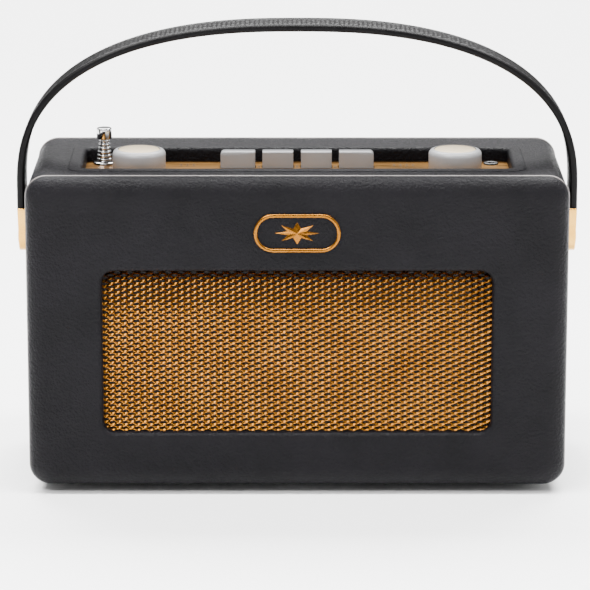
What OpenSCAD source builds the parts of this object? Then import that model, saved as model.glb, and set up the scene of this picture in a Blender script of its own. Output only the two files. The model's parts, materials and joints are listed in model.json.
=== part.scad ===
/* [Case] */
// Width of the leather case
case_w = 250; // [245:1:255]
// Height of the leather case
case_h = 147; // [145:1:150]
// Depth of the leather case over its padded panels
case_d = 104; // [102:1:110]
// Radius of the case's long edges
corner_r = 10; // [9:1:12]
// Thickness of the padding on the front and on the back
padding = 6.1; // [5:0.1:8]
// Gap between the case and the surface it stands on
foot_gap = 4; // [4:0.5:6]
// Thickness of the wooden wall
wall = 5; // [4:0.5:6]
// Thickness of the leather on the sides
skin = 1; // [0.8:0.1:1.5]
// Width of the piping line round the front and the back
piping = 1.5; // [1:0.1:2]

/* [Grille] */
// Width of the grille opening
grille_w = 180; // [150:1:185]
// Height of the grille opening
grille_h = 77; // [60:1:80]
// Height of the middle of the grille above the surface
grille_z = 68.7; // [66:0.1:72]
// Radius of the loudspeaker cone
cone_r = 38; // [30:1:38]

/* [Control well] */
// Half of the width of the well
well_x = 101.5; // [100:0.5:103]
// Front edge of the well
well_front = -31; // [-33:0.5:-30]
// Back edge of the well
well_back = 20; // [19:0.5:21]
// Depth of the well below the top of the case
well_deep = 6; // [6:0.5:7]
// Distance of each knob from the middle
knob_x = 74.3; // [70:0.1:76]
// Radius of each knob
knob_r = 12.5; // [11:0.1:13]
// Height of each knob
knob_h = 9.9; // [8:0.1:11]
// Travel of each push key
key_travel = 3; // [2:0.5:3]

/* [Aerial] */
// Distance of the aerial to the left of the middle
aerial_x = 91.5; // [90:0.5:92]
// Distance of the aerial behind the middle
aerial_y = 12.6; // [12:0.1:12.8]
// Radius of the widest sliding section
aerial_r = 3.55; // [3.5:0.05:3.6]
// Length of each sliding section inside the sleeve
aerial_l = 120; // [100:1:120]

/* [Handle] */
// Distance of the handle's pivots below the top of the case
pivot_drop = 37.5; // [35:0.5:40]
// Rise of the strap above the top of the case
strap_rise = 65; // [62:1:72]
// Half of the span of the strap over its outer face
strap_span = 131.5; // [131:0.1:131.8]
// Thickness of the strap
strap_t = 3.5; // [3:0.1:3.5]
// Width of the strap
strap_w = 22; // [20:1:24]
// Squareness of the strap's arch
strap_power = 2.45; // [2.2:0.05:2.8]

/* [Back door] */
// Half of the width of the battery door
door_x = 71.5; // [70:0.5:72]
// Top of the battery door above the surface
door_top = 91.5; // [88:0.5:94]

/* [Swivel base] */
// Radius of the swivel plate
base_r = 34; // [32:1:40]

/* [Hidden] */
$fn = 48;

top = foot_gap + case_h;
mid_z = foot_gap + case_h / 2;
shell_y = case_d / 2 - padding - piping;
pipe_y = case_d / 2 - padding;
face_y = case_d / 2;
inner_w = case_w - 2 * (wall + skin);
inner_h = case_h - 2 * (wall + skin);
inner_bottom = foot_gap + skin + wall;
panel_top = top - well_deep;
panel_t = 1.5;
panel_under = panel_top - panel_t;
well_mid = (well_front + well_back) / 2;
well_d = well_back - well_front;
lip_t = 1.5;
lip_rise = 0.6;
lip_edge = 5;
fit = 0.05;
gap = 0.3;

knob_y = -4;
shaft_r = 3;
board_top = 119.6;
board_t = 1.6;
baffle_t = 6;
baffle_back = -pipe_y + baffle_t;
key_places = [-28, -9.1, 9.1, 28];
key_widths = [16.4, 14.6, 14.6, 16.4];
key_front = 2;
key_d = 6.5;
key_low = 136.4;
key_high = top + 1.6;
socket_x = 92;
socket_y = 11.5;
socket_bore = 1.8;

sections = 6;
step_r = 0.5;
slide_gap = 0.08;
section_low = panel_top + 1 - aerial_l;
ring_h = 1.7;
ring_pitch = 1.8;
sleeve_top = panel_top + 1.2;

pivot_z = top - pivot_drop;
pivot_y = -3;
arch_z = top - 12;
arch_h = top + strap_rise - arch_z;
clip_in = 127;
clip_out = 132.2;
clip_mid = (clip_in + clip_out) / 2;
head_deep = 2;
head_gap = 0.3;
clip_top = top - 22;
clip_low_r = 7;
strap_low = 12;
pin_r = 2.5;
arch_steps = 48;

hinge_y = 49.5;
hinge_z = 17;
door_low = 14;
door_pin_r = 1;
door_in = 46.5;
door_out = 51.5;
cell_r = 16.5;
cell_l = 61;
cell_y = 25;
cell_z = 29;
cell_pitch = 33.4;
stud_r = 4;
screw_head_r = 3.6;
screw_sunk = 1;
screw_proud = 0.8;
catch_r = 5;
corner_x = 112;
back_bore = 1.6;

speaker_pitch = 45;
speaker_screw_r = 1.5;
flange_t = 1.5;
frame_d = 20;
ferrite_r = 5;
ferrite_y = 31;
ferrite_z = 132;
cap_r = 9.85;

black = [0.17, 0.16, 0.17];
gold = [0.6, 0.45, 0.27];
chrome = [0.8, 0.8, 0.8];
wood = [0.65, 0.5, 0.35];
steel = [0.6, 0.6, 0.62];

// Rounded rectangle about the origin, made of squares and circles.
module rounded(w, h, r) {
    square([w - 2 * r, h], center = true);
    square([w, h - 2 * r], center = true);
    for (x = [-1, 1], y = [-1, 1]) translate([x * (w / 2 - r), y * (h / 2 - r)]) circle(r);
}
// Upright plate of a rounded rectangle from y0 to y1, centred at the height z.
module upright(w, h, r, z, y0, y1) {
    translate([0, y1, z]) rotate([90, 0, 0]) linear_extrude(y1 - y0) rounded(w, h, r);
}
// Flat plate of a rounded rectangle over the control well, grown by the margin.
module well_plate(margin, r, z0, z1) {
    translate([0, well_mid, z0]) linear_extrude(z1 - z0)
        rounded(2 * well_x + 2 * margin, well_d + 2 * margin, r);
}
// Block between two corners.
module block(low, high) {
    translate(low) cube(high - low);
}
// Round bar along Y from y0 to y1.
module bar_y(r, x, z, y0, y1) {
    translate([x, y0, z]) rotate([-90, 0, 0]) cylinder(r = r, h = y1 - y0);
}
// Round bar along X from x0 to x1.
module bar_x(r, y, z, x0, x1) {
    translate([x0, y, z]) rotate([0, 90, 0]) cylinder(r = r, h = x1 - x0);
}
// Round bar along Z from z0 to z1.
module bar_z(r, x, y, z0, z1) {
    translate([x, y, z0]) cylinder(r = r, h = z1 - z0);
}
module pivot_holes(r) {
    for (s = [-1, 1]) bar_x(r, pivot_y, pivot_z, s * 123 - 8, s * 123 + 8);
}

module cabinet_shell() {
    color(wood) difference() {
        upright(case_w - 2 * skin, case_h - 2 * skin, corner_r - skin, mid_z, -shell_y, shell_y);
        upright(inner_w, inner_h, 0.2, mid_z, -shell_y - 1, shell_y + 1);
        well_plate(0, 3, panel_top - 1, top + 1);
        pivot_holes(pin_r);
        bar_z(stud_r + fit, 0, 0, 0, inner_bottom + 1);
    }
}
module leather_wrap() {
    color(black) difference() {
        upright(case_w, case_h, corner_r, mid_z, -shell_y, shell_y);
        upright(case_w - 2 * skin, case_h - 2 * skin, corner_r - skin, mid_z, -shell_y - 1, shell_y + 1);
        well_plate(0, 3, panel_top - 1, top + 1);
        pivot_holes(pin_r);
        bar_z(stud_r + 2, 0, 0, 0, inner_bottom);
    }
}
module well_lip() {
    color(black) difference() {
        union() {
            well_plate(0, 3, panel_top, top);
            well_plate(lip_edge, 8, top, top + lip_rise);
        }
        well_plate(-lip_t, 2, panel_top - 1, top + 2);
    }
}
module control_panel() {
    color(gold) difference() {
        well_plate(0, 3, panel_under, panel_top);
        for (s = [-1, 1]) bar_z(shaft_r + gap, s * knob_x, knob_y, 140, 150);
        for (i = [0:3]) translate([key_places[i], key_front + key_d / 2, 140])
            linear_extrude(10) rounded(key_widths[i] + 2 * gap, key_d + 2 * gap, 1);
        bar_z(aerial_r + step_r, -aerial_x, aerial_y, 140, 150);
        bar_z(3.2, socket_x, socket_y, 140, 150);
    }
}
// Padded slab whose edges round away from y0 towards the face.
module padded_slab() {
    hull() for (s = [[0, 0], [0.55, 1.2], [0.8, 2.8], [0.94, 4.6], [1, 7]]) {
        y = -pipe_y - s[0] * padding;
        upright(case_w - 2 * s[1], case_h - 2 * s[1], corner_r - s[1] / 2, mid_z,
            s[0] == 0 ? y - 0.1 : y, s[0] == 0 ? y : y + 0.1, $fn = 32);
    }
}
module front_panel() {
    color(black) difference() {
        padded_slab();
        upright(grille_w, grille_h, 6, grille_z, -60, -40);
        upright(grille_w + 6, grille_h + 6, 6, grille_z, -pipe_y - 2.1, -40);
    }
}
module piping_ring() {
    difference() {
        upright(case_w + 0.6, case_h + 0.6, corner_r, mid_z, -pipe_y, -shell_y);
        upright(case_w - 6, case_h - 6, corner_r - 3, mid_z, -pipe_y - 1, -shell_y + 1);
    }
}
module front_piping() {
    color([0.63, 0.6, 0.59]) piping_ring();
}
module back_piping() {
    color([0.63, 0.6, 0.59]) mirror([0, 1, 0]) piping_ring();
}
module grille_mesh() {
    color(gold) upright(grille_w + 4.6, grille_h + 4.6, 6, grille_z, -pipe_y - 1.7, -pipe_y - 0.5);
}
module grille_cloth() {
    color("black") upright(grille_w + 4.6, grille_h + 4.6, 6, grille_z, -pipe_y - 0.5, -pipe_y);
}
module front_badge() {
    color(gold) translate([0, -face_y, top - 25.5]) rotate([90, 0, 0]) difference() {
        linear_extrude(1) rounded(40, 18, 8.9);
        translate([0, 0, -1]) linear_extrude(3) rounded(36, 14, 6.9);
    }
}
// Round bar along Y on the loudspeaker's screw circle at the angle a.
module speaker_bar(r, a, y0, y1) {
    bar_y(r, speaker_pitch * cos(a), grille_z + speaker_pitch * sin(a), y0, y1);
}
module baffle_board() {
    color(wood) difference() {
        block([-inner_w / 2 + gap, -pipe_y, inner_bottom + gap],
            [inner_w / 2 - gap, baffle_back, panel_under - gap]);
        bar_y(cone_r, 0, grille_z, -60, -30);
        for (a = [45:90:359]) speaker_bar(speaker_screw_r, a, -60, -30);
    }
}
// Turns a profile of [radius, depth] about the loudspeaker's axis.
module about_speaker(profile) {
    translate([0, baffle_back, grille_z]) rotate([-90, 0, 0]) rotate_extrude() polygon(profile);
}
module speaker_frame() {
    color(steel) difference() {
        about_speaker([[cone_r, 0], [50, 0], [50, flange_t], [cone_r + 2, flange_t], [23, frame_d],
            [12, frame_d], [12, frame_d - 1.5], [22, frame_d - 1.5]]);
        for (a = [45:90:359]) speaker_bar(speaker_screw_r, a, -60, -30);
    }
}
module speaker_cone() {
    color([0.2, 0.2, 0.2])
        about_speaker([[0, 11], [8, 13], [10, 14], [34, -0.5], [36, -1.5], [cone_r, 0], [37, 1.2], [35, 0.8],
            [11, 15.8], [7, 15], [0, 13]]);
}
module speaker_magnet() {
    color(steel) bar_y(22, 0, grille_z, baffle_back + frame_d, baffle_back + frame_d + 14);
}
module speaker_screws() {
    color(steel) for (a = [45:90:359]) {
        speaker_bar(speaker_screw_r, a, -pipe_y + 1, baffle_back + flange_t);
        speaker_bar(2 * speaker_screw_r, a, baffle_back + flange_t, baffle_back + flange_t + 1.8);
    }
}
module circuit_board() {
    color([0.65, 0.5, 0.25]) difference() {
        block([-100, -32, board_top - board_t], [100, 22, board_top]);
        bar_z(aerial_r + step_r + gap, -aerial_x, aerial_y, 100, 130);
    }
}
module board_components() {
    color("silver") for (i = [0:4])
        block([-44 + 14 * i, -28, board_top], [-35 + 14 * i, -19, board_top + 12]);
    color("royalblue") for (i = [0:5]) bar_z(3.5, -40 + 13 * i, -10, board_top, board_top + 11);
    color("tan") for (i = [0:6]) block([40 + 3.5 * i, -28, board_top], [42 + 3.5 * i, -20, board_top + 3]);
}
module board_pillars() {
    color(steel) for (s = [-1, 1]) {
        bar_z(3, s * 95, -25, board_top, panel_under);
        bar_z(3, s * 50, 16, board_top, panel_under);
    }
}
module ferrite_rod() {
    color([0.2, 0.2, 0.2]) bar_x(ferrite_r, ferrite_y, ferrite_z, -80, 80);
}
module aerial_coils() {
    color("peru") for (x = [-50, 25]) difference() {
        bar_x(ferrite_r + 1.5, ferrite_y, ferrite_z, x, x + 25);
        bar_x(ferrite_r, ferrite_y, ferrite_z, x - 1, x + 26);
    }
}
module ferrite_brackets() {
    color("white") for (x = [-72, 66]) difference() {
        block([x, ferrite_y - 7, ferrite_z - 7], [x + 6, ferrite_y + 7, inner_bottom + inner_h]);
        bar_x(ferrite_r, ferrite_y, ferrite_z, x - 1, x + 7);
    }
}
// Hole in a control for its turning shaft.
module shaft_hole(s) {
    bar_z(shaft_r + fit, s * knob_x, knob_y, 123, 150);
}
module volume_control() {
    color(steel) difference() {
        union() {
            bar_z(12, -knob_x, knob_y, board_top, 131);
            bar_z(5, -knob_x, knob_y, 131, panel_under);
        }
        shaft_hole(-1);
    }
}
module tuning_capacitor() {
    color("ivory") difference() {
        union() {
            block([knob_x - 13, knob_y - 13, board_top], [knob_x + 13, knob_y + 13, 132]);
            bar_z(5, knob_x, knob_y, 132, panel_under);
        }
        shaft_hole(1);
    }
}
module switch_bank() {
    color("dimgray") block([-39, -2, board_top], [39, 12, key_low - key_travel - gap]);
}
module earphone_socket() {
    color("black") difference() {
        union() {
            bar_z(3.2, socket_x, socket_y, 129, panel_top);
            bar_z(3.5, socket_x, socket_y, panel_top, panel_top + 0.8);
        }
        bar_z(socket_bore, socket_x, socket_y, 131, 150);
    }
}
module battery_box() {
    color("dimgray") difference() {
        block([-67, 6, inner_bottom], [67, 44, 82]);
        block([-65, 8, inner_bottom + 2], [65, 50, 80]);
    }
}
module batteries() {
    color("firebrick") for (x = [-61.5, 0.5], k = [0, 1]) {
        bar_x(cell_r, cell_y, cell_z + k * cell_pitch, x, x + cell_l - 1.5);
        bar_x(5, cell_y, cell_z + k * cell_pitch, x + cell_l - 1.5, x + cell_l);
    }
}
module battery_contacts() {
    color("gold") for (s = [-1, 1], k = [0, 1]) {
        z = cell_z + k * cell_pitch;
        block([s * 64.5 - 0.5, cell_y - 8, z - 8], [s * 64.5 + 0.5, cell_y + 8, z + 8]);
        bar_x(4, cell_y, z, s * 62.75 - 1.25, s * 62.75 + 1.25);
    }
}
module corner_blocks() {
    color(wood) for (s = [-1, 1], z = [inner_bottom, inner_bottom + inner_h - 14]) difference() {
        block([s * corner_x - 7, 20, z], [s * corner_x + 7, pipe_y, z + 14]);
        bar_y(back_bore, s * corner_x, z + 7, 10, 60);
    }
}
module back_panel() {
    color(black) difference() {
        mirror([0, 1, 0]) padded_slab();
        block([-door_x - gap, 40, 12.4], [door_x + gap, 60, door_top + gap]);
        for (s = [-1, 1], z = [inner_bottom + 7, inner_bottom + inner_h - 7]) {
            bar_y(back_bore, s * corner_x, z, 40, 60);
            bar_y(screw_head_r, s * corner_x, z, face_y - screw_sunk, 60);
        }
        bar_x(door_pin_r, hinge_y, hinge_z, -74, 74);
    }
}
module back_screws() {
    color("goldenrod") for (s = [-1, 1], z = [inner_bottom + 7, inner_bottom + inner_h - 7]) {
        bar_y(back_bore, s * corner_x, z, 32, face_y - screw_sunk);
        bar_y(screw_head_r, s * corner_x, z, face_y - screw_sunk, face_y + screw_proud);
    }
}
module back_door() {
    color(black) difference() {
        block([-door_x, door_in, door_low], [door_x, door_out, door_top - gap]);
        bar_x(door_pin_r + fit, hinge_y, hinge_z, -door_x - 1, -door_x + 5);
        bar_x(door_pin_r + fit, hinge_y, hinge_z, door_x - 5, door_x + 1);
    }
}
module door_catch() {
    color("goldenrod") bar_y(catch_r, 0, door_top - 2 * catch_r, door_out, face_y + screw_proud);
}
module door_hinge_pins() {
    color("goldenrod") {
        bar_x(door_pin_r, hinge_y, hinge_z, -74, -door_x + 4.5);
        bar_x(door_pin_r, hinge_y, hinge_z, door_x - 4.5, 74);
    }
}

module aerial_sleeve() {
    color(chrome) difference() {
        union() {
            bar_z(aerial_r + step_r, -aerial_x, aerial_y, section_low - 2, sleeve_top);
            bar_z(5.5, -aerial_x, aerial_y, panel_top, sleeve_top);
        }
        bar_z(aerial_r + slide_gap, -aerial_x, aerial_y, section_low - 1, sleeve_top + 1);
    }
}
// Top of the ring on the section with this number.
function ring_top(i) = sleeve_top + ring_pitch * i;
module aerial_section(i) {
    r = aerial_r - step_r * (i - 1);
    color(chrome) difference() {
        union() {
            bar_z(r, -aerial_x, aerial_y, section_low, ring_top(i));
            bar_z(4.2 - 0.3 * i, -aerial_x, aerial_y, ring_top(i) - ring_h, ring_top(i));
        }
        if (i < sections)
            bar_z(r - step_r + slide_gap, -aerial_x, aerial_y, section_low - 1, ring_top(i) + 1);
    }
}
module aerial_tip() {
    color(chrome) bar_z(3.6, -aerial_x, aerial_y, ring_top(sections), ring_top(sections) + 5.4);
}

module knob(s) {
    color([0.6, 0.58, 0.57]) difference() {
        bar_z(knob_r, s * knob_x, knob_y, panel_top + 0.5, panel_top + 0.5 + knob_h);
        bar_z(cap_r, s * knob_x, knob_y, panel_top + knob_h - 0.7, 170);
        bar_z(shaft_r, s * knob_x, knob_y, 140, 151);
    }
}
module knob_cap(s) {
    color("cornsilk") bar_z(cap_r, s * knob_x, knob_y, panel_top + knob_h - 0.7, panel_top + knob_h + 0.6);
}
module knob_shaft(s) {
    color(steel) bar_z(shaft_r, s * knob_x, knob_y, 123.3, 151);
}
module push_key(i) {
    w = key_widths[i];
    color([0.6, 0.58, 0.56]) translate([key_places[i], key_front + key_d / 2, key_low])
        linear_extrude(key_high - key_low) rounded(w, key_d, 0.8);
}

// Point of the strap's arch at the angle t on the curve with these half axes.
function arch(a, b, t) =
    [a * sign(cos(t)) * pow(abs(cos(t)), 2 / strap_power), arch_z + b * pow(abs(sin(t)), 2 / strap_power)];
module handle_strap() {
    low = pivot_z + strap_low;
    outer = [for (i = [0:arch_steps]) arch(strap_span, arch_h, 180 * i / arch_steps)];
    inner = [for (i = [arch_steps:-1:0]) arch(strap_span - strap_t, arch_h - strap_t, 180 * i / arch_steps)];
    color(black) translate([0, pivot_y + strap_w / 2, 0]) rotate([90, 0, 0]) linear_extrude(strap_w)
        polygon(concat([[strap_span, low]], outer, [[-strap_span, low], [-strap_span + strap_t, low]],
            inner, [[strap_span - strap_t, low]]));
}
module handle_clip(s) {
    half = 12.5;
    left = s > 0 ? clip_in : -clip_out;
    color("goldenrod") difference() {
        union() {
            translate([left, 0, 0]) rotate([90, 0, 90]) linear_extrude(clip_out - clip_in)
                polygon([[pivot_y - clip_low_r, pivot_z], [pivot_y + clip_low_r, pivot_z],
                    [pivot_y + half, clip_top], [pivot_y - half, clip_top]]);
            bar_x(clip_low_r, pivot_y, pivot_z, left, left + clip_out - clip_in);
        }
        block([s * (strap_span - strap_t / 2) - strap_t / 2, pivot_y - strap_w / 2, pivot_z + strap_low],
            [s * (strap_span - strap_t / 2) + strap_t / 2, pivot_y + strap_w / 2, top]);
        bar_x(pin_r + fit, pivot_y, pivot_z, s * clip_mid - 5, s * clip_mid + 5);
        mirror([s < 0 ? 1 : 0, 0, 0]) bar_x(4.8, pivot_y, pivot_z, clip_out - head_deep, clip_out + 1);
    }
}
module pivot_screws() {
    color("goldenrod") for (s = [-1, 1]) {
        mirror([s < 0 ? 1 : 0, 0, 0]) {
            bar_x(pin_r, pivot_y, pivot_z, inner_w / 2, clip_out - head_deep + head_gap);
            bar_x(4.5, pivot_y, pivot_z, clip_out - head_deep + head_gap, clip_out - 0.2);
        }
    }
}
module pivot_washers() {
    color("goldenrod") for (s = [-1, 1]) difference() {
        mirror([s < 0 ? 1 : 0, 0, 0]) bar_x(7, pivot_y, pivot_z, case_w / 2, clip_in - gap);
        bar_x(pin_r, pivot_y, pivot_z, s * clip_in - 5, s * clip_in + 5);
    }
}

module swivel_plate() {
    color(steel) difference() {
        union() {
            bar_z(base_r, 0, 0, 1, 2.6);
            bar_z(30, 0, 0, 2.6, foot_gap - fit);
        }
        bar_z(26, 0, 0, 2.6, foot_gap);
        bar_z(stud_r, 0, 0, 0, foot_gap);
    }
}
module base_pad() {
    color([0.1, 0.1, 0.1]) bar_z(base_r - 1, 0, 0, 0, 1);
}
module swivel_stud() {
    color(steel) {
        bar_z(stud_r, 0, 0, 1, inner_bottom + gap);
        bar_z(5.5, 0, 0, inner_bottom + gap, inner_bottom + 2);
    }
}

cabinet_shell();
leather_wrap();
well_lip();
control_panel();
front_panel();
front_piping();
back_piping();
grille_mesh();
grille_cloth();
front_badge();
baffle_board();
speaker_frame();
speaker_cone();
speaker_magnet();
speaker_screws();
circuit_board();
board_components();
board_pillars();
ferrite_rod();
aerial_coils();
ferrite_brackets();
volume_control();
tuning_capacitor();
switch_bank();
earphone_socket();
battery_box();
batteries();
battery_contacts();
corner_blocks();
back_panel();
back_screws();
back_door();
door_catch();
door_hinge_pins();
aerial_sleeve();
for (i = [1:sections]) aerial_section(i);
aerial_tip();
knob(-1);  // volume_knob
knob_cap(-1);  // volume_cap
knob_shaft(-1);  // volume_shaft
knob(1);  // tuning_knob
knob_cap(1);  // tuning_cap
knob_shaft(1);  // tuning_shaft
for (i = [1:4]) push_key(i - 1);
handle_strap();
handle_clip(-1);  // left_handle_clip
handle_clip(1);  // right_handle_clip
pivot_screws();
pivot_washers();
swivel_plate();
base_pad();
swivel_stud();
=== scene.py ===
import json
import math

import bmesh
import bpy
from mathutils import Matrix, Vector


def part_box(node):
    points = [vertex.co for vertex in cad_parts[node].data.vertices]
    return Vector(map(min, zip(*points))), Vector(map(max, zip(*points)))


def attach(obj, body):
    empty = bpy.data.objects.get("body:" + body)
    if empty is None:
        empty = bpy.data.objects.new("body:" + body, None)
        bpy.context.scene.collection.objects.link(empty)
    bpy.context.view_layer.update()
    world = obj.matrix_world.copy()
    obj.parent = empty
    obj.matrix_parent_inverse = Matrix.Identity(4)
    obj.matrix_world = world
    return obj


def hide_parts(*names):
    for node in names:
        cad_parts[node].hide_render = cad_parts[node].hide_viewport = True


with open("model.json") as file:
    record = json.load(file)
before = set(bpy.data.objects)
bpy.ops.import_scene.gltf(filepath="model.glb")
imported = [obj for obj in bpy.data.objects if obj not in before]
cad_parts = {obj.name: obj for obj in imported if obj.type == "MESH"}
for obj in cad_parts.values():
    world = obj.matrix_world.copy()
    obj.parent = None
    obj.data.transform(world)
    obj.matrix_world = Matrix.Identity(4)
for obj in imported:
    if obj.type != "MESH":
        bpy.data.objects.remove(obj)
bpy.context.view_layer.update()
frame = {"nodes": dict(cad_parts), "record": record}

MM = 0.001
NODES = frame["nodes"]


# ---------- Places taken from the frame, in millimetres ----------

def box_mm(node):
    """Lowest and highest corner of a CAD node, in millimetres."""
    low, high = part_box(node)
    return low / MM, high / MM


wrap_low, wrap_high = box_mm("leather_wrap")
panel_low, panel_high = box_mm("front_panel")
mesh_low, mesh_high = box_mm("grille_mesh")
lip_low, lip_high = box_mm("well_lip")
strap_low, strap_high = box_mm("handle_strap")
door_low, door_high = box_mm("back_door")
badge_low, badge_high = box_mm("front_badge")

CASE_W = wrap_high.x - wrap_low.x
CASE_H = wrap_high.z - wrap_low.z
CASE_MID = (wrap_high.z + wrap_low.z) / 2
CASE_TOP = wrap_high.z
CORNER_R = 10
PANEL_TOP = box_mm("control_panel")[1].z
AXIS_R = 0.01
AERIAL_R = 3.55
AERIAL_STEP = 0.5
STRAP_T = 3.5
STRAP_POWER = 2.45


# ---------- Camera, floor and light ----------

def make_camera():
    """Camera in front of the case, a little above it."""
    aim_height = 94.5
    aim = Vector((-1, wrap_low.y, aim_height)) * MM
    distance = 1.6
    tilt = math.radians(13.7)
    data = bpy.data.cameras.new("camera")
    data.lens = 210.9
    data.sensor_width = 36
    camera = bpy.data.objects.new("camera", data)
    bpy.context.scene.collection.objects.link(camera)
    camera.location = aim + distance * Vector((0, -math.cos(tilt), math.sin(tilt)))
    camera.rotation_euler = (aim - camera.location).to_track_quat("-Z", "Y").to_euler()
    bpy.context.scene.camera = camera


def make_light(name, place, target, size, power):
    """Soft square area light that points at the target."""
    data = bpy.data.lights.new(name, "AREA")
    data.shape = "RECTANGLE"
    data.size, data.size_y = size
    data.energy = power
    light = bpy.data.objects.new(name, data)
    light.location = place
    light.rotation_euler = (Vector(target) - Vector(place)).to_track_quat("-Z", "Y").to_euler()
    bpy.context.scene.collection.objects.link(light)


def make_studio():
    """Plain pale floor, white surroundings and soft lights."""
    mesh = bpy.data.meshes.new("floor")
    half = 6
    corners = [(-half, -half, 0), (half, -half, 0), (half, half, 0), (-half, half, 0)]
    mesh.from_pydata(corners, [], [(0, 1, 2, 3)])
    floor = bpy.data.objects.new("floor", mesh)
    bpy.context.scene.collection.objects.link(floor)
    floor.data.materials.append(plain_material("floor", (0.93, 0.93, 0.93), 0.6))
    world = bpy.data.worlds.new("surroundings")
    world.use_nodes = True
    background = world.node_tree.nodes["Background"]
    background.inputs["Color"].default_value = (1, 1, 1, 1)
    background.inputs["Strength"].default_value = 0.62
    bpy.context.scene.world = world
    make_light("key", (-0.8, -1.3, 1.6), (0, 0, 0.1), (1.0, 0.6), 42)
    make_light("top", (0, -0.25, 1.3), (0, 0, 0.15), (1.8, 0.26), 68)
    make_light("floor_wash", (0, 1.9, 3.0), (0, 1.8, 0), (4.0, 1.6), 620)
    make_light("side", (1.4, -0.5, 0.7), (0, 0, 0.1), (0.5, 0.9), 8)


# ---------- Materials ----------

def plain_material(name, colour, roughness):
    """Unpatterned material, for the floor only."""
    material = bpy.data.materials.new(name)
    material.use_nodes = True
    shader = material.node_tree.nodes["Principled BSDF"]
    shader.inputs["Base Color"].default_value = (*colour, 1)
    shader.inputs["Roughness"].default_value = roughness
    return material


def stretched(tree, scale):
    """Object coordinates stretched by the scale along each axis."""
    place = tree.nodes.new("ShaderNodeTexCoord")
    mapping = tree.nodes.new("ShaderNodeMapping")
    mapping.inputs["Scale"].default_value = scale
    tree.links.new(place.outputs["Object"], mapping.inputs["Vector"])
    return mapping.outputs["Vector"]


def noise(tree, coordinates, scale, detail=4):
    """Noise over the coordinates."""
    node = tree.nodes.new("ShaderNodeTexNoise")
    node.inputs["Scale"].default_value = scale
    node.inputs["Detail"].default_value = detail
    tree.links.new(coordinates, node.inputs["Vector"])
    return node.outputs["Fac"]


def spread(tree, value, low, high):
    """Maps the middle of a noise to the span from low to high."""
    node = tree.nodes.new("ShaderNodeMapRange")
    node.inputs["From Min"].default_value = 0.3
    node.inputs["From Max"].default_value = 0.62
    node.inputs["To Min"].default_value = low
    node.inputs["To Max"].default_value = high
    tree.links.new(value, node.inputs["Value"])
    return node.outputs["Result"]


def blended(tree, factor, first, second):
    """Colour between two colours."""
    node = tree.nodes.new("ShaderNodeMix")
    node.data_type = "RGBA"
    node.inputs["A"].default_value = (*first, 1)
    node.inputs["B"].default_value = (*second, 1)
    tree.links.new(factor, node.inputs["Factor"])
    return node.outputs["Result"]


def bumped(tree, shader, height, distance):
    """Bump from a height, in millimetres."""
    node = tree.nodes.new("ShaderNodeBump")
    node.inputs["Distance"].default_value = distance * MM
    node.inputs["Strength"].default_value = 1
    tree.links.new(height, node.inputs["Height"])
    tree.links.new(node.outputs["Normal"], shader.inputs["Normal"])


def grained_material(name, dark, light, rough, metal=0.0, grain=900, depth=0.02, stretch=(1, 1, 1),
                     coat=0.0):
    """Material with cloudy colour, uneven gloss and a fine grain."""
    material = bpy.data.materials.new(name)
    material.use_nodes = True
    tree = material.node_tree
    shader = tree.nodes["Principled BSDF"]
    shader.inputs["Metallic"].default_value = metal
    shader.inputs["Coat Weight"].default_value = coat
    place = stretched(tree, stretch)
    fine = noise(tree, place, grain)
    cloud = noise(tree, place, 60)
    tree.links.new(blended(tree, spread(tree, cloud, 0, 1), dark, light), shader.inputs["Base Color"])
    tree.links.new(spread(tree, fine, rough * 0.8, rough * 1.2), shader.inputs["Roughness"])
    bumped(tree, shader, fine, depth)
    return material


def leather_material(name, dark, light, cell=1.2, depth=0.28, rough=0.39):
    """Pebbled leathercloth: rounded grains between fine creases, with a cloudy, uneven tone."""
    material = bpy.data.materials.new(name)
    material.use_nodes = True
    tree = material.node_tree
    shader = tree.nodes["Principled BSDF"]
    shader.inputs["Specular IOR Level"].default_value = 0.09
    wander = 1.2 * MM
    place = stretched(tree, (1, 1, 1))
    warp = tree.nodes.new("ShaderNodeVectorMath")
    warp.operation = "MULTIPLY_ADD"
    bend = tree.nodes.new("ShaderNodeTexNoise")
    bend.inputs["Scale"].default_value = 500
    tree.links.new(place, bend.inputs["Vector"])
    tree.links.new(bend.outputs["Color"], warp.inputs[0])
    warp.inputs[1].default_value = (wander, wander, wander)
    tree.links.new(place, warp.inputs[2])
    grains = tree.nodes.new("ShaderNodeTexVoronoi")
    grains.feature = "SMOOTH_F1"
    grains.inputs["Scale"].default_value = 1 / (cell * MM)
    grains.inputs["Smoothness"].default_value = 0.6
    tree.links.new(warp.outputs["Vector"], grains.inputs["Vector"])
    height = tree.nodes.new("ShaderNodeMath")
    height.operation = "MULTIPLY_ADD"
    tree.links.new(grains.outputs["Distance"], height.inputs[0])
    height.inputs[1].default_value = -1
    tree.links.new(noise(tree, place, 2600, 2), height.inputs[2])
    cloud = noise(tree, place, 45)
    tree.links.new(blended(tree, spread(tree, cloud, 0, 1), dark, light), shader.inputs["Base Color"])
    gloss = spread(tree, noise(tree, place, 700), rough * 0.85, rough * 1.2)
    tree.links.new(gloss, shader.inputs["Roughness"])
    bumped(tree, shader, height.outputs["Value"], depth)
    return material


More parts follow.
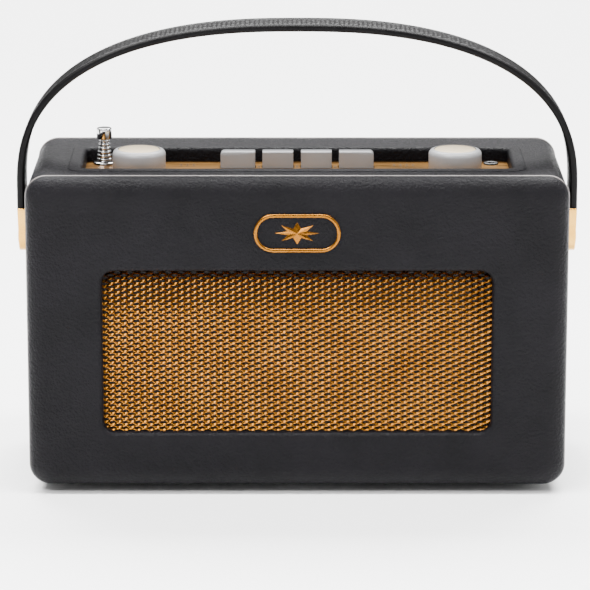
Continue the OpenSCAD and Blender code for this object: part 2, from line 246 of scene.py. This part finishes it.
MATERIALS = {
    "leather": leather_material("leather", (0.0018, 0.0016, 0.0023), (0.0034, 0.003, 0.0041)),
    # Piping: a black leather cord; its grey-brown base colour, far paler than the leather, is partly the
    # cord's own dark tone and partly painted highlight standing in for the shine along the bead.
    "piping": grained_material(
        "piping", (0.08, 0.07, 0.066), (0.12, 0.107, 0.101), 0.5, depth=0.01),
    "gold_metal": grained_material(
        "gold_metal", (0.22, 0.1, 0.02), (0.3, 0.15, 0.034), 0.32, 1.0, 700, 0.008, (0.06, 1, 1)),
    "gold_mesh": grained_material(
        "gold_mesh", (0.18, 0.067, 0.008), (0.23, 0.092, 0.013), 0.26, 1.0, 1500, 0.01),
    "brass": grained_material(
        "brass", (0.55, 0.28, 0.04), (0.68, 0.38, 0.08), 0.22, 1.0, 1200, 0.004),
    "chrome": grained_material(
        "chrome", (0.6, 0.6, 0.6), (0.72, 0.72, 0.72), 0.1, 1.0, 800, 0.001),
    "knob_plastic": grained_material(
        "knob_plastic", (0.165, 0.166, 0.17), (0.19, 0.19, 0.194), 0.36, grain=2200, depth=0.004),
    "cap_plastic": grained_material(
        "cap_plastic", (0.3, 0.235, 0.14), (0.35, 0.28, 0.175), 0.45, grain=1500, depth=0.004),
    "black_plastic": grained_material(
        "black_plastic", (0.012, 0.012, 0.012), (0.025, 0.025, 0.025), 0.4, depth=0.02),
    "wood": grained_material(
        "wood", (0.36, 0.24, 0.13), (0.55, 0.4, 0.25), 0.6, grain=500, depth=0.04, stretch=(0.15, 1, 3)),
    "steel": grained_material(
        "steel", (0.4, 0.4, 0.42), (0.55, 0.55, 0.56), 0.35, 1.0, 900, 0.01, (0.2, 1, 1)),
    "cloth": grained_material(
        "cloth", (0.002, 0.0016, 0.0013), (0.004, 0.0034, 0.003), 0.95, grain=2500, depth=0.1),
    "cone_paper": grained_material(
        "cone_paper", (0.012, 0.012, 0.012), (0.03, 0.028, 0.025), 0.85, grain=1200, depth=0.08),
    "rubber_pad": grained_material(
        "rubber_pad", (0.012, 0.012, 0.012), (0.02, 0.02, 0.02), 0.8, depth=0.06),
    "board": grained_material(
        "board", (0.3, 0.2, 0.07), (0.4, 0.28, 0.11), 0.5, depth=0.01),
    "copper": grained_material(
        "copper", (0.5, 0.2, 0.08), (0.65, 0.3, 0.12), 0.35, 0.8, 3000, 0.08, (8, 1, 1)),
    "battery_wrap": grained_material(
        "battery_wrap", (0.16, 0.008, 0.006), (0.22, 0.014, 0.01), 0.35, depth=0.005, coat=0.3),
    "strap_leather": leather_material(
        "strap_leather", (0.0018, 0.0016, 0.0018), (0.0032, 0.0029, 0.0031), 0.8, 0.05, 0.34),
    "ink": grained_material(
        "ink", (0.01, 0.008, 0.006), (0.02, 0.016, 0.012), 0.6, depth=0.002),
}


def dress_frame():
    """Gives every CAD node the material of its slot."""
    for part in frame["record"]["subparts"]:
        node = NODES[part["node"]]
        node.data.materials.clear()
        node.data.materials.append(MATERIALS[part["material_slot"]])


# ---------- Making pieces ----------

def finish_piece(name, vertices, faces, body, slot, material=None, replaces=(), bevel=0.0, smooth=True):
    """Links a mesh given in millimetres to its body, with the material of its slot unless another is given,
    and hides the CAD nodes that it replaces.
    """
    mesh = bpy.data.meshes.new(name)
    mesh.from_pydata([Vector(v) * MM for v in vertices], [], faces)
    shape = bmesh.new()
    shape.from_mesh(mesh)
    bmesh.ops.remove_doubles(shape, verts=shape.verts, dist=1e-7)
    bmesh.ops.recalc_face_normals(shape, faces=shape.faces)
    shape.to_mesh(mesh)
    shape.free()
    piece = bpy.data.objects.new(name, mesh)
    bpy.context.scene.collection.objects.link(piece)
    mesh.materials.append(MATERIALS[material or slot])
    if bevel:
        rounding = piece.modifiers.new("rounding", "BEVEL")
        rounding.width = bevel * MM
        rounding.segments = 3
        rounding.limit_method = "ANGLE"
        rounding.angle_limit = math.radians(40)
    if smooth:
        mesh.polygons.foreach_set("use_smooth", [True] * len(mesh.polygons))
        mesh.set_sharp_from_angle(angle=math.radians(48))
    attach(piece, body)
    if replaces:
        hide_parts(*replaces)
    return piece


def rectangle_loop(w, h, r, steps=10, side=14):
    """Points round a rounded rectangle about the origin, always the same number of them."""
    points = []
    corners = [(1, 1), (-1, 1), (-1, -1), (1, -1)]
    for k, (sx, sy) in enumerate(corners):
        arc = []
        for i in range(steps + 1):
            angle = math.radians(90 * (k + i / steps))
            arc.append((sx * (w / 2 - r) + r * math.cos(angle), sy * (h / 2 - r) + r * math.sin(angle)))
        points += arc
        tx, ty = corners[(k + 1) % 4]
        angle = math.radians(90 * (k + 1))
        end = (tx * (w / 2 - r) + r * math.cos(angle), ty * (h / 2 - r) + r * math.sin(angle))
        for i in range(1, side):
            t = i / side
            points.append((arc[-1][0] * (1 - t) + end[0] * t, arc[-1][1] * (1 - t) + end[1] * t))
    return points


def upright_loop(w, h, r, middle, y):
    """Rounded rectangle that stands at the depth y."""
    return [(x, y, middle + z) for x, z in rectangle_loop(w, h, max(r, 0.05))]


def flat_loop(w, h, r, middle, z):
    """Rounded rectangle that lies at the height z."""
    return [(x, middle + y, z) for x, y in rectangle_loop(w, h, max(r, 0.05))]


def loft(loops, close=False, caps=False):
    """Vertices and faces of a skin over loops of the same number of points."""
    count = len(loops[0])
    vertices = [p for loop in loops for p in loop]
    faces = []
    last = len(loops) if close else len(loops) - 1
    for a in range(last):
        b = (a + 1) % len(loops)
        for i in range(count):
            j = (i + 1) % count
            faces.append((a * count + i, a * count + j, b * count + j, b * count + i))
    if caps:
        faces.append(tuple(range(count)))
        faces.append(tuple(range((len(loops) - 1) * count, len(loops) * count)))
    return vertices, faces


def lathe(profile, x, y, steps=64):
    """Turns a closed profile of (radius, height) about the upright axis through x, y."""
    loops = []
    for r, z in profile:
        ring = [2 * math.pi * i / steps for i in range(steps)]
        loops.append([(x + r * math.cos(a), y + r * math.sin(a), z) for a in ring])
    return loft(loops, close=True)


def quarter(steps=6):
    """Sine and cosine pairs over a right angle."""
    angles = [math.pi / 2 * i / steps for i in range(steps + 1)]
    return [(math.sin(angle), math.cos(angle)) for angle in angles]


# ---------- Case ----------

def padded_panel(side, opening, opening_r, roll, depth_in, inset):
    """Padded front or back panel, with rounded edges and a rolled opening."""
    base = abs(panel_high.y)
    face = abs(panel_low.y)
    low_x, high_x, low_z, high_z = opening
    loops = [upright_loop(CASE_W - 1, CASE_H - 1, CORNER_R, CASE_MID, side * base)]
    for s, c in quarter(9):
        shrink = inset * (1 - c)
        y = side * (base + (face - base) * s)
        loops.append(upright_loop(CASE_W - 2 * shrink, CASE_H - 2 * shrink, CORNER_R - shrink * 0.5,
                                  CASE_MID, y))
    w, h = high_x - low_x, high_z - low_z
    middle = (low_z + high_z) / 2
    outer_w, outer_h = CASE_W - 2 * inset, CASE_H - 2 * inset
    for t in (0.12, 0.3, 0.6, 0.85):
        mix_w = outer_w + (w + 2 * roll - outer_w) * t
        mix_h = outer_h + (h + 2 * roll - outer_h) * t
        mix_r = (CORNER_R - inset * 0.5) * (1 - t) + (opening_r + roll) * t
        loops.append(upright_loop(mix_w, mix_h, mix_r, CASE_MID + (middle - CASE_MID) * t, side * face))
    for s, c in quarter(7):
        grow = roll * (1 - s)
        y = side * (face - roll * (1 - c))
        loops.append(upright_loop(w + 2 * grow, h + 2 * grow, opening_r + grow, middle, y))
    loops.append(upright_loop(w, h, opening_r, middle, side * (face - depth_in)))
    return loft(loops)


def make_panels():
    """Front panel round the grille and back panel round the battery door."""
    rim = 2.3
    grille = (mesh_low.x + rim, mesh_high.x - rim, mesh_low.z + rim, mesh_high.z - rim)
    vertices, faces = padded_panel(-1, grille, opening_r=5.5, roll=2.2, depth_in=4.6, inset=9)
    front = finish_piece("padded_front", vertices, faces, "root", "leather", replaces=["front_panel"])
    gap, hatch_low = 0.3, 12.4
    hatch = (door_low.x - gap, door_high.x + gap, hatch_low, door_high.z + 2 * gap)
    vertices, faces = padded_panel(1, hatch, opening_r=1.2, roll=0.3, depth_in=6, inset=8)
    back = finish_piece("padded_back", vertices, faces, "root", "leather", replaces=["back_panel"])


def make_door():
    """Battery door with a padded, rounded outer face."""
    w, h = door_high.x - door_low.x, door_high.z - door_low.z
    middle = (door_high.z + door_low.z) / 2
    edge = 1.5
    loops = [upright_loop(w - 1, h - 1, 1, middle, door_low.y),
             upright_loop(w, h, 1.2, middle, door_low.y + 0.5)]
    for s, c in quarter(5):
        shrink = edge * (1 - c)
        y = door_high.y - edge + edge * s
        loops.append(upright_loop(w - 2 * shrink, h - 2 * shrink, 1.3, middle, y))
    vertices, faces = loft(loops, caps=True)
    finish_piece("battery_door", vertices, faces, "door", "leather", replaces=["back_door"])


def lathe_y(profile, x, z, steps=48):
    """Turns an open profile of (radius, depth) about the axis along Y through x, z."""
    loops = []
    for r, y in profile:
        ring = [2 * math.pi * i / steps for i in range(steps)]
        loops.append([(x + r * math.cos(a), y, z + r * math.sin(a)) for a in ring])
    return loft(loops)


def slotted_head(x, z, r, under, out, slot_w):
    """Domed screw head that faces the back, with a straight slot pressed into it."""
    dome, slot_d = 0.55, 0.45
    profile = [(AXIS_R, under), (r, under), (r, out - dome)]
    for s, c in quarter(6):
        profile.append((r * (0.35 + 0.65 * c), out - dome + dome * s))
    profile += [(r * 0.2, out), (AXIS_R, out)]
    vertices, faces = lathe_y(profile, x, z)
    pressed = []
    for vx, vy, vz in vertices:
        in_slot = abs(vz - z) < slot_w and vy > out - dome - 0.05
        pressed.append((vx, vy - (slot_d if in_slot else 0), vz))
    return pressed, faces


def make_back_fittings():
    """Slotted screws of the back panel and the thumb catch of the battery door."""
    low, high = box_mm("back_screws")
    r, head_t = 3.6, 1.7
    vertices, faces = [], []
    for x in (low.x + r, high.x - r):
        for z in (low.z + r, high.z - r):
            more, skin = slotted_head(x, z, r, high.y - head_t, high.y, slot_w=0.45)
            start = len(vertices)
            vertices += more
            faces += [tuple(start + i for i in face) for face in skin]
    finish_piece("back_screw_heads", vertices, faces, "root", "brass", replaces=["back_screws"])
    low, high = box_mm("door_catch")
    x, z = (low.x + high.x) / 2, (low.z + high.z) / 2
    r = (high.x - low.x) / 2
    more, skin = slotted_head(x, z, r, low.y, high.y, slot_w=0.6)
    finish_piece("thumb_catch", more, skin, "door", "brass", replaces=["door_catch"])


def make_piping():
    """Round piping line at the front and at the back of the case."""
    r = 0.78
    for node in ("front_piping", "back_piping"):
        low, high = box_mm(node)
        middle_y = (low.y + high.y) / 2
        loops = []
        for i in range(12):
            a = 2 * math.pi * i / 12
            grow = 2 * r * (math.cos(a) - 1)
            loops.append(upright_loop(high.x - low.x + grow, high.z - low.z + grow,
                                      CORNER_R + grow / 2, CASE_MID, middle_y + r * math.sin(a)))
        vertices, faces = loft(loops, close=True)
        finish_piece(node + "_cord", vertices, faces, "root", "piping", replaces=[node])


def make_lip():
    """Rolled leather lip and wall of the control well."""
    w, d = lip_high.x - lip_low.x, lip_high.y - lip_low.y
    middle = (lip_high.y + lip_low.y) / 2
    rise = lip_high.z - CASE_TOP
    inner_w, inner_d = w - 13, d - 13
    loops = []
    for s, c in quarter(5):
        shrink = 1.4 * (1 - c)
        loops.append(flat_loop(w - 2 * shrink, d - 2 * shrink, 8 - shrink / 2, middle, CASE_TOP + rise * s))
    roll = 2.4
    for s, c in quarter(8):
        grow = roll * (1 - s)
        z = lip_high.z - roll * (1 - c)
        loops.append(flat_loop(inner_w + 2 * grow, inner_d + 2 * grow, 4 + grow, middle, z))
    loops.append(flat_loop(inner_w, inner_d, 4, middle, PANEL_TOP + 0.02))
    vertices, faces = loft(loops)
    finish_piece("rolled_lip", vertices, faces, "root", "leather", replaces=["well_lip"])


def make_grille():
    """Expanded-metal grille: tilted zigzag strands that meet in a staggered pattern of lozenges."""
    pitch_x, pitch_z = 5.9, 2.7
    amplitude, half_h, lean = 0.65, 0.47, 0.33
    plate = 0.3
    vertices, faces = [], []
    rows = int((mesh_high.z - mesh_low.z) / (pitch_z / 2)) - 1
    columns = int((mesh_high.x - mesh_low.x) / (pitch_x / 6)) - 1
    y = (mesh_low.y + mesh_high.y) / 2
    wave = [-1, -0.5, 0.5, 1, 0.5, -0.5]
    for row in range(rows):
        base = mesh_low.z + 1.6 + row * pitch_z / 2
        turn = 1 if row % 2 else -1
        start = len(vertices)
        for i in range(columns + 1):
            x = mesh_low.x + 0.4 + i * pitch_x / 6
            z = base + turn * amplitude * wave[i % 6]
            wide = half_h * (1.1 if abs(wave[i % 6]) == 1 else 0.85)
            vertices += [(x, y - lean - plate / 2, z - wide), (x, y + lean - plate / 2, z + wide),
                         (x, y + lean + plate / 2, z + wide), (x, y - lean + plate / 2, z - wide)]
        for i in range(columns):
            a, b = start + 4 * i, start + 4 * (i + 1)
            for k in range(4):
                m = (k + 1) % 4
                faces.append((a + k, a + m, b + m, b + k))
        faces.append(tuple(range(start, start + 4)))
        faces.append(tuple(range(start + 4 * columns, start + 4 * columns + 4)))
    finish_piece("expanded_grille", vertices, faces, "root", "gold_metal", "gold_mesh", ["grille_mesh"],
                 smooth=False)


def make_badge():
    """Plain gilt ring with an eight-pointed star in it."""
    middle = (badge_high.z + badge_low.z) / 2
    w, h = badge_high.x - badge_low.x, badge_high.z - badge_low.z
    band = 1.7
    depth_mid = (badge_low.y + badge_high.y) / 2
    loops = []
    for i in range(12):
        a = 2 * math.pi * i / 12
        grow = band * (math.cos(a) - 1)
        y = depth_mid + 0.48 * math.sin(a)
        loops.append(upright_loop(w + grow, h + grow, h / 2 - 0.1 + grow / 2, middle, y))
    vertices, faces = loft(loops, close=True)
    finish_piece("badge_ring", vertices, faces, "root", "gold_metal", "gold_mesh", ["front_badge"])
    rays = 8
    start_y, tip_y = badge_high.y, badge_low.y + 0.1
    vertices = [(0, tip_y, middle), (0, start_y, middle)]
    for i in range(2 * rays):
        a = math.pi * i / rays
        reach = 5.2 if i % 2 == 0 else 2.4
        vertices.append((2.0 * reach * math.cos(a), start_y, middle + reach * math.sin(a)))
    faces = []
    for i in range(2 * rays):
        a, b = 2 + i, 2 + (i + 1) % (2 * rays)
        faces += [(0, a, b), (1, b, a)]
    finish_piece("badge_star", vertices, faces, "root", "gold_metal", "gold_mesh", smooth=False)


# ---------- Controls ----------

def make_knob(name, body):
    """Knob with a rounded shoulder, a dark rim line and a domed cap disc."""
    low, high = box_mm(name + "_knob")
    x, y = (low.x + high.x) / 2, (low.y + high.y) / 2
    r = (high.x - low.x) / 2
    shoulder = 2.6
    rim = 9.95
    profile = [(3, low.z), (r - 0.5, low.z), (r, low.z + 0.5)]
    for s, c in quarter(8):
        profile.append((r - shoulder * (1 - c), high.z - shoulder + shoulder * s))
    profile += [(rim, high.z - 0.05), (rim, high.z - 0.7), (3, high.z - 0.7)]
    vertices, faces = lathe(profile, x, y, 96)
    finish_piece(name + "_knob_body", vertices, faces, body, "knob_plastic", replaces=[name + "_knob"])
    cap_low, cap_high = box_mm(name + "_cap")
    cap_r = rim - 0.22
    profile = [(AXIS_R, cap_low.z), (cap_r, cap_low.z), (cap_r, cap_high.z - 0.45),
               (cap_r - 0.25, cap_high.z - 0.2), (cap_r * 0.7, cap_high.z - 0.06),
               (cap_r * 0.3, cap_high.z), (AXIS_R, cap_high.z)]
    vertices, faces = lathe(profile, x, y, 96)
    finish_piece(name + "_cap_disc", vertices, faces, body, "cap_plastic", replaces=[name + "_cap"])


def make_key(number):
    """Push key, with its outer top corner rounded on the outer keys."""
    low, high = box_mm(f"key_{number}")
    big, small = 1.9, 0.35
    left = big if number == 1 else small
    right = big if number == 4 else small
    outline = [(low.x, low.z), (high.x, low.z)]
    for s, c in quarter(6):
        outline.append((high.x - right * (1 - c), high.z - right * (1 - s)))
    for s, c in reversed(quarter(6)):
        outline.append((low.x + left * (1 - c), high.z - left * (1 - s)))
    loops = []
    for y, shrink in ((low.y, 0.3), (low.y + 0.3, 0), (high.y - 0.3, 0), (high.y, 0.3)):
        mid_x, mid_z = (low.x + high.x) / 2, (low.z + high.z) / 2
        fx = 1 - 2 * shrink / (high.x - low.x)
        fz = 1 - 2 * shrink / (high.z - low.z)
        loops.append([(mid_x + (px - mid_x) * fx, y, mid_z + (pz - mid_z) * fz) for px, pz in outline])
    vertices, faces = loft(loops, caps=True)
    finish_piece(f"key_top_{number}", vertices, faces, f"push_key_{number}", "knob_plastic",
                 replaces=[f"key_{number}"])


def make_marks():
    """Printed tick marks round the knobs and dots beside the keys."""
    vertices, faces = [], []
    thick = 0.04

    def tick(x, y, angle, length, width):
        start = len(vertices)
        along = Vector((math.cos(angle), math.sin(angle), 0))
        across = Vector((-along.y, along.x, 0))
        for z in (PANEL_TOP, PANEL_TOP + thick):
            for s, t in ((-1, -1), (1, -1), (1, 1), (-1, 1)):
                p = Vector((x, y, z)) + along * length / 2 * s + across * width / 2 * t
                vertices.append(tuple(p))
        faces.extend([tuple(start + i for i in (4, 5, 6, 7)), tuple(start + i for i in (3, 2, 1, 0))])
        for i in range(4):
            j = (i + 1) % 4
            faces.append((start + i, start + j, start + 4 + j, start + 4 + i))

    for name in ("volume", "tuning"):
        low, high = box_mm(name + "_knob")
        x, y = (low.x + high.x) / 2, (low.y + high.y) / 2
        reach = (high.x - low.x) / 2 + 2.2
        for i in range(21):
            a = math.radians(-120 + i * 15)
            angle = math.pi / 2 - a
            tick(x + reach * math.cos(angle), y + reach * math.sin(angle), angle,
                 1.8 if i % 5 == 0 else 1.0, 0.35)
    for number in (1, 2, 3):
        right = box_mm(f"key_{number}")[1].x
        left = box_mm(f"key_{number + 1}")[0].x
        for dy in (-4.5, -3, -1.5):
            tick((left + right) / 2, 8 + dy, 0, 1.1, 0.5)
    for side, count in ((-1, 3), (1, 4)):
        for i in range(count):
            tick(side * (55 - 3 * i), 9, math.pi / 2, 2.2, 0.5)
            tick(side * (55 - 3 * i), 6, 0, 1.4, 0.4)
    finish_piece("printed_marks", vertices, faces, "root", "gold_metal", "ink", smooth=False)


def make_socket():
    """Earphone socket with a rounded rim."""
    low, high = box_mm("earphone_socket")
    x, y = (low.x + high.x) / 2, (low.y + high.y) / 2
    r, bore = 3.5, 1.8
    profile = [(bore, low.z + 2), (3.2, low.z + 2), (3.2, PANEL_TOP), (r, PANEL_TOP), (r, high.z - 0.3),
               (r - 0.3, high.z), (bore + 0.4, high.z), (bore, high.z - 0.4)]
    vertices, faces = lathe(profile, x, y, 48)
    finish_piece("earphone_rim", vertices, faces, "root", "black_plastic", replaces=["earphone_socket"])


# ---------- Aerial ----------

def make_aerial():
    """Telescopic aerial: sleeve, six hollow sections with chamfered rings, and a round tip."""
    low, high = box_mm("aerial_sleeve")
    x, y = (low.x + high.x) / 2, (low.y + high.y) / 2
    flange, tube, bore, chamfer = 5.5, AERIAL_R + AERIAL_STEP, AERIAL_R + 0.08, 0.3
    profile = [(bore, low.z + 1), (tube, low.z), (tube, PANEL_TOP), (flange, PANEL_TOP),
               (flange, high.z - chamfer), (flange - chamfer, high.z), (bore, high.z)]
    vertices, faces = lathe(profile, x, y, 48)
    finish_piece("aerial_base", vertices, faces, "root", "chrome", replaces=["aerial_sleeve"])
    for number in range(1, 7):
        low, high = box_mm(f"aerial_section_{number}")
        ring = (high.x - low.x) / 2
        r = AERIAL_R - AERIAL_STEP * (number - 1)
        hole = r - AERIAL_STEP + 0.08 if number < 6 else AXIS_R
        under = high.z - 1.7
        bevel = 0.4
        profile = [(hole, low.z), (r, low.z), (r, under), (ring - bevel, under), (ring, under + bevel),
                   (ring, high.z - bevel), (ring - bevel, high.z), (hole, high.z)]
        vertices, faces = lathe(profile, x, y, 48)
        finish_piece(f"aerial_tube_{number}", vertices, faces, f"aerial_{number}", "chrome",
                     replaces=[f"aerial_section_{number}"])
    low, high = box_mm("aerial_tip")
    r = (high.x - low.x) / 2
    shoulder = 0.7
    profile = [(AXIS_R, low.z), (r - 0.4, low.z), (r, low.z + 0.4)]
    for s, c in quarter(5):
        profile.append((r - shoulder * (1 - c), high.z - shoulder + shoulder * s))
    profile += [(r * 0.55, high.z - 0.05), (AXIS_R, high.z - 0.25)]
    vertices, faces = lathe(profile, x, y, 64)
    finish_piece("aerial_cap", vertices, faces, "aerial_6", "chrome", replaces=["aerial_tip"])


# ---------- Handle ----------

def arch_path():
    """Outer face of the strap, evenly spaced points from the right end to the left one."""
    arch_z = CASE_TOP - 12
    half = strap_high.x
    rise = strap_high.z - arch_z
    power = 2 / STRAP_POWER
    fine_steps = 3000
    dense = [(half, strap_low.z)]
    for i in range(fine_steps + 1):
        t = math.pi * i / fine_steps
        c, s = math.cos(t), math.sin(t)
        dense.append((half * math.copysign(abs(c) ** power, c), arch_z + rise * abs(s) ** power))
    dense.append((-half, strap_low.z))
    lengths = [0.0]
    for a, b in zip(dense, dense[1:]):
        lengths.append(lengths[-1] + math.dist(a, b))
    step, points, k = 0.75, [], 0
    count = int(lengths[-1] / step)
    for i in range(count + 1):
        want = lengths[-1] * i / count
        while k < len(lengths) - 2 and lengths[k + 1] < want:
            k += 1
        t = (want - lengths[k]) / max(lengths[k + 1] - lengths[k], 1e-9)
        points.append((dense[k][0] + (dense[k + 1][0] - dense[k][0]) * t,
                       dense[k][1] + (dense[k + 1][1] - dense[k][1]) * t, want))
    return points


def strap_relief(across, along):
    """Depth of the strap's outer face below its highest line: a braided band between raised edges."""
    band, ridge, stitch, edge, border = 6.6, 7.8, 8.4, 9.6, 1.4
    far = abs(across)
    if far > edge:
        return 1.1 * ((far - edge) / border) ** 2
    if far > ridge:
        return 0.12 + 0.1 * abs(math.sin(2.2 * along)) * (far < stitch)
    if far > band:
        return 0.55
    pitch = 4.4
    one = abs(math.sin(math.pi * (along + across) / pitch))
    two = abs(math.sin(math.pi * (along - across) / pitch))
    return 0.95 * (1 - max(one, two)) ** 0.7 + 0.1 * (1 - min(one, two))


def make_strap():
    """Bowed leather strap with a braided band on its outer face and rounded edges."""
    path = arch_path()
    middle = (strap_high.y + strap_low.y) / 2
    half = (strap_high.y - strap_low.y) / 2
    columns = 44
    loops = []
    for i, (x, z, along) in enumerate(path):
        a, b = path[max(i - 1, 0)], path[min(i + 1, len(path) - 1)]
        tangent = Vector((b[0] - a[0], 0, b[1] - a[1])).normalized()
        out = Vector((tangent.z, 0, -tangent.x))
        loop = []
        for k in range(columns + 1):
            across = -half + 2 * half * k / columns
            p = Vector((x, middle + across, z)) - out * strap_relief(across, along)
            loop.append(tuple(p))
        for across, depth in ((half, 1.9), (half, 2.8), (half - 0.8, STRAP_T), (0, STRAP_T),
                              (0.8 - half, STRAP_T), (-half, 2.8), (-half, 1.9)):
            p = Vector((x, middle + across, z)) - out * depth
            loop.append(tuple(p))
        loops.append(loop)
    vertices, faces = loft(loops, caps=True)
    finish_piece("braided_strap", vertices, faces, "handle", "leather", "strap_leather", ["handle_strap"])


def make_clips():
    """Tapered brass clips with round lower ends, and the domed heads of their pivot screws."""
    for name, side in (("left_handle_clip", -1), ("right_handle_clip", 1)):
        low, high = box_mm(name)
        thin = 0.9
        inner, outer = (low.x, high.x - thin) if side > 0 else (high.x, low.x + thin)
        mid_y = (low.y + high.y) / 2
        r = 7
        pivot = low.z + r
        wide = (high.y - low.y) / 2
        outline = [(mid_y + wide, high.z), (mid_y - wide, high.z)]
        for i in range(17):
            a = math.pi * (1 + i / 16)
            outline.append((mid_y + r * math.cos(a), pivot + r * math.sin(a)))
        loops = [[(x, y, z) for y, z in outline] for x in (inner, outer)]
        vertices, faces = loft(loops, caps=True)
        finish_piece(name + "_plate", vertices, faces, "handle", "brass", replaces=[name], bevel=0.6)
    vertices, faces = [], []
    low, high = box_mm("pivot_screws")
    pivot_y, pivot_z = (low.y + high.y) / 2, (low.z + high.z) / 2
    head, shank, dome, shank_in, steps = 4.4, 2.45, 0.8, 120, 32
    for side in (-1, 1):
        loops = []
        out = high.x
        profile = [(AXIS_R, shank_in), (shank, shank_in), (shank, out - 1.5), (head, out - 1.5)]
        for s, c in quarter(5):
            profile.append((head * (0.25 + 0.75 * c), out - dome + dome * s))
        profile.append((AXIS_R, out))
        for r, x in profile:
            loops.append([(side * x, pivot_y + r * math.cos(2 * math.pi * i / steps),
                           pivot_z + r * math.sin(2 * math.pi * i / steps)) for i in range(steps)])
        more, skin = loft(loops)
        start = len(vertices)
        vertices += more
        faces += [tuple(start + i for i in face) for face in skin]
    finish_piece("pivot_screw_heads", vertices, faces, "root", "brass", replaces=["pivot_screws"])


make_camera()
make_studio()
dress_frame()
make_panels()
make_door()
make_back_fittings()
make_piping()
make_lip()
make_grille()
make_badge()
for control in ("volume", "tuning"):
    make_knob(control, control + "_control_knob")
for key_number in range(1, 5):
    make_key(key_number)
make_marks()
make_socket()
make_aerial()
make_strap()
make_clips()

bpy.context.view_layer.update()
